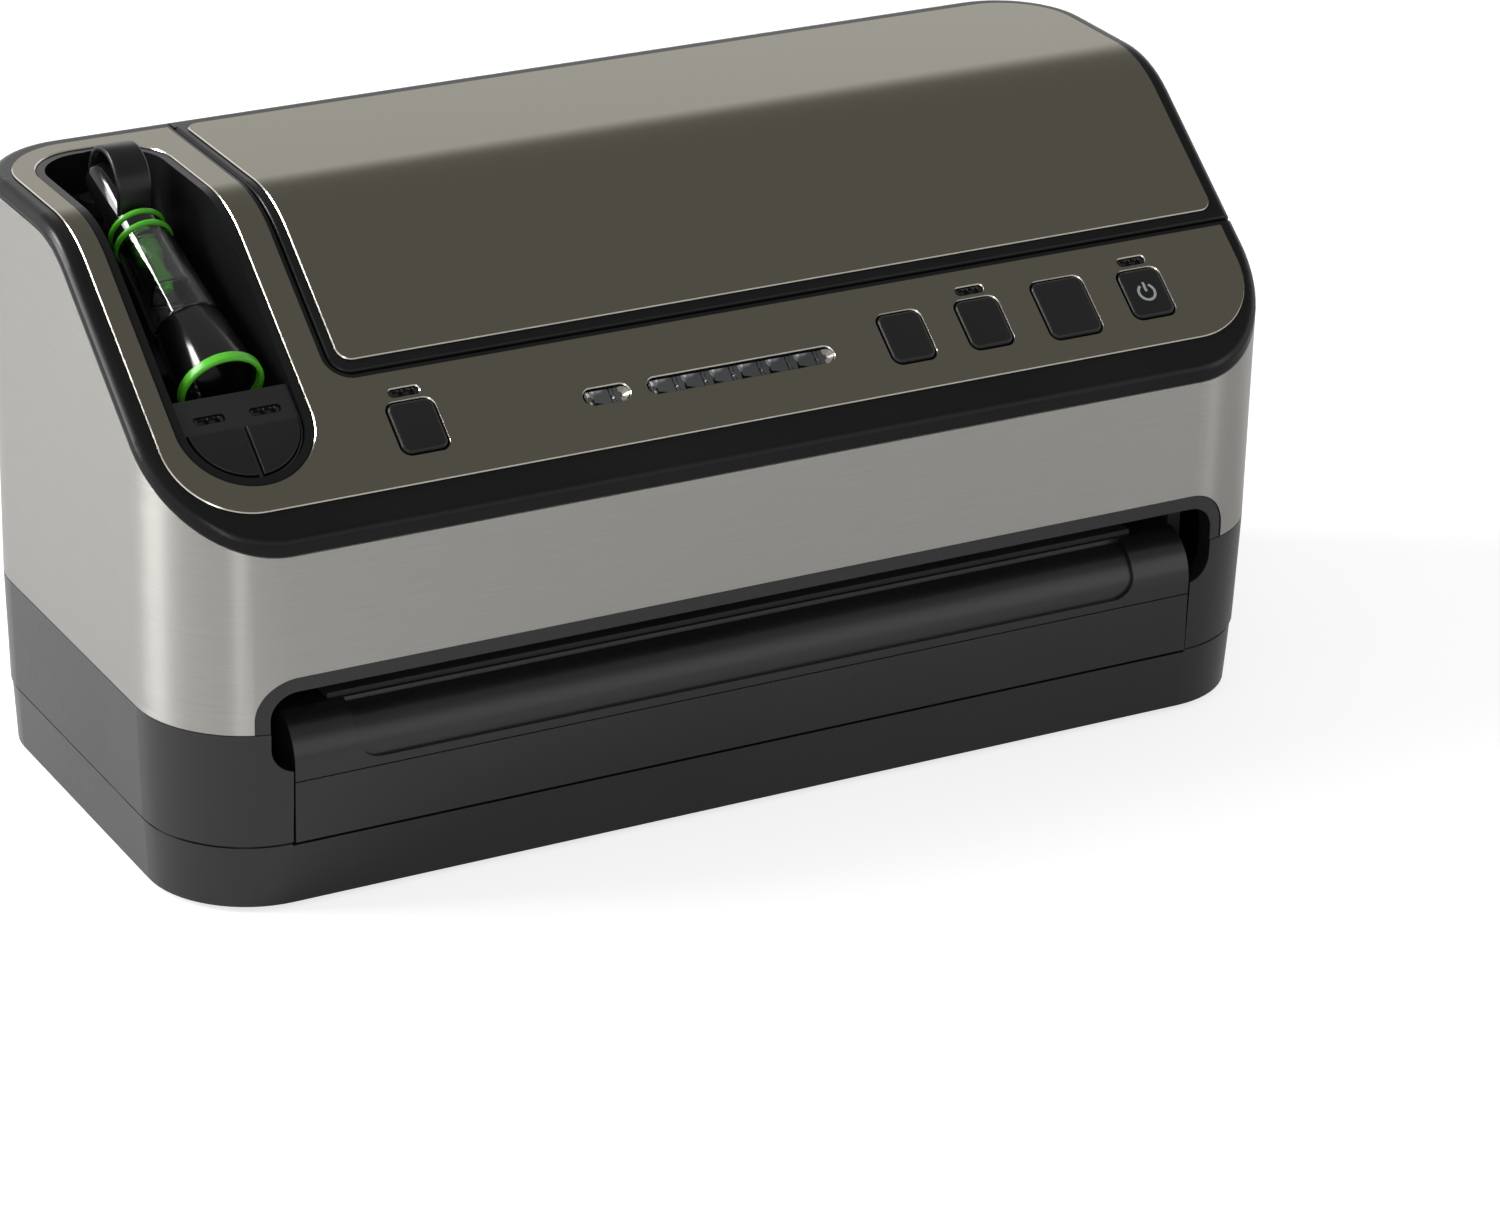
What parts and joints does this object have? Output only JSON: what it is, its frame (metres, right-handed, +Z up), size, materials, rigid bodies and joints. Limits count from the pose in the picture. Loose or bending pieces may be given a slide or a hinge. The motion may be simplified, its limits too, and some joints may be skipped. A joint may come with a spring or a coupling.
{
  "type": "vacuum sealer",
  "caption": "Countertop vacuum sealer with a sloped control top, front bag slot over a drip tray, hinged lid over a roll bay, and a handheld sealer in a side bay.",
  "frame": {"origin": "under the middle of the body, on the surface that the feet stand on", "axes": "+X along the width to the right as seen from the front, +Y from the front to the back, +Z up"},
  "size_m": [0.41, 0.177, 0.2151],
  "materials": {
    "black_plastic": "fine moulded satin",
    "inner_plastic": "plain moulded, unseen when closed",
    "gloss_black": "polished",
    "button_plastic": "satin",
    "bronze_skin": "satin bronze with polished edges",
    "brushed_steel": "brushed along the width",
    "zinc_steel": "zinc plated",
    "blade_steel": "ground edge",
    "brass": "turned",
    "rubber": "matte",
    "foam_seal": "closed cell foam",
    "clear_lens": "clear ribbed",
    "clear_plastic": "clear smoky",
    "green_plastic": "bright green",
    "circuit_board": "solder mask",
    "pump_alloy": "die cast",
    "heater_tape": "coated glass cloth tape"
  },
  "bodies": {
    "housing": {"base_pan": "black_plastic", "base_housing": "black_plastic", "rear_cover": "black_plastic", "cord_gland": "rubber", "rubber_feet": "rubber", "case_screws": "zinc_steel", "steel_wrap": "brushed_steel", "top_deck": "black_plastic", "control_fascia": "bronze_skin", "hinge_brackets": "zinc_steel", "lid_hinge_pins": "zinc_steel", "indicator_lenses": "clear_lens", "progress_lens": "clear_lens", "clean_lens": "clear_lens", "control_board": "circuit_board", "power_board": "circuit_board", "accessory_bay": "gloss_black", "bay_panel": "black_plastic", "hose_gland": "rubber", "roll_bay": "inner_plastic", "cutter_rail": "inner_plastic", "crosshead": "zinc_steel", "screw_bush": "brass", "guide_posts": "zinc_steel", "clamp_motor": "zinc_steel", "jaw_brackets": "inner_plastic", "chassis_plate": "inner_plastic", "pump_case": "pump_alloy", "pump_motor": "zinc_steel", "vacuum_hose": "rubber", "accessory_hose": "rubber"},
    "lid": {"lid_shell": "black_plastic", "lid_skin": "bronze_skin"},
    "jaw": {"upper_jaw": "inner_plastic", "jaw_nut": "brass", "upper_gasket": "foam_seal", "heating_bar": "heater_tape", "clamp_screw": "zinc_steel"},
    "tray": {"drip_tray": "inner_plastic", "tray_front": "black_plastic", "tray_lip": "black_plastic", "lower_gasket": "foam_seal", "seal_strip": "rubber"},
    "cutter": {"cutter_slider": "button_plastic", "cutter_blade": "blade_steel"},
    "handheld": {"handheld_handle": "button_plastic", "reservoir_cup": "clear_plastic", "reservoir_nozzle": "gloss_black", "nozzle_ring": "green_plastic", "neck_rings": "green_plastic", "reservoir_valve": "green_plastic"},
    "rotor": {"pump_rotor": "inner_plastic"},
    "power_key": {"power_button": "button_plastic"},
    "seal_key": {"seal_button": "button_plastic"},
    "food_key": {"food_button": "button_plastic"},
    "cancel_key": {"cancel_button": "button_plastic"},
    "vacuum_key": {"vacuum_button": "button_plastic"},
    "accessory_key": {"accessory_button": "button_plastic"},
    "marinate_key": {"marinate_button": "button_plastic"}
  },
  "joints": [
    {"name": "lid_hinge", "type": "hinge", "parent": "housing", "child": "lid", "pos_m": [0, 0.0805, 0.1963], "axis": [-1, 0, 0], "range_deg": [0, 92]},
    {"name": "tray_slide", "type": "slide", "parent": "housing", "child": "tray", "axis": [0, -1, 0], "range_m": [0, 0.12]},
    {"name": "jaw_slide", "type": "slide", "parent": "housing", "child": "jaw", "axis": [0, 0, -1], "range_m": [0, 0.0075]},
    {"name": "cutter_slide", "type": "slide", "parent": "housing", "child": "cutter", "axis": [1, 0, 0], "range_m": [0, 0.263]},
    {"name": "handheld_lift", "type": "slide", "parent": "housing", "child": "handheld", "axis": [0, 0, 1], "range_m": [0, 0.06]},
    {"name": "rotor_spin", "type": "hinge", "parent": "housing", "child": "rotor", "pos_m": [-0.1, 0.038, 0.0525], "axis": [1, 0, 0], "continuous": true},
    {"name": "power_press", "type": "slide", "parent": "housing", "child": "power_key", "axis": [0, 0.6088, -0.7934], "range_m": [0, 0.0012], "stiffness_N_per_m": 400, "springref_m": -0.001},
    {"name": "seal_press", "type": "slide", "parent": "housing", "child": "seal_key", "axis": [0, 0.6088, -0.7934], "range_m": [0, 0.0012], "stiffness_N_per_m": 400, "springref_m": -0.001},
    {"name": "food_press", "type": "slide", "parent": "housing", "child": "food_key", "axis": [0, 0.6088, -0.7934], "range_m": [0, 0.0012], "stiffness_N_per_m": 400, "springref_m": -0.001},
    {"name": "cancel_press", "type": "slide", "parent": "housing", "child": "cancel_key", "axis": [0, 0.6088, -0.7934], "range_m": [0, 0.0012], "stiffness_N_per_m": 400, "springref_m": -0.001},
    {"name": "vacuum_press", "type": "slide", "parent": "housing", "child": "vacuum_key", "axis": [0, 0.6088, -0.7934], "range_m": [0, 0.0012], "stiffness_N_per_m": 400, "springref_m": -0.001},
    {"name": "accessory_press", "type": "slide", "parent": "housing", "child": "accessory_key", "axis": [0, 0.6088, -0.7934], "range_m": [0, 0.001], "stiffness_N_per_m": 400, "springref_m": -0.001},
    {"name": "marinate_press", "type": "slide", "parent": "housing", "child": "marinate_key", "axis": [0, 0.6088, -0.7934], "range_m": [0, 0.001], "stiffness_N_per_m": 400, "springref_m": -0.001}
  ]
}
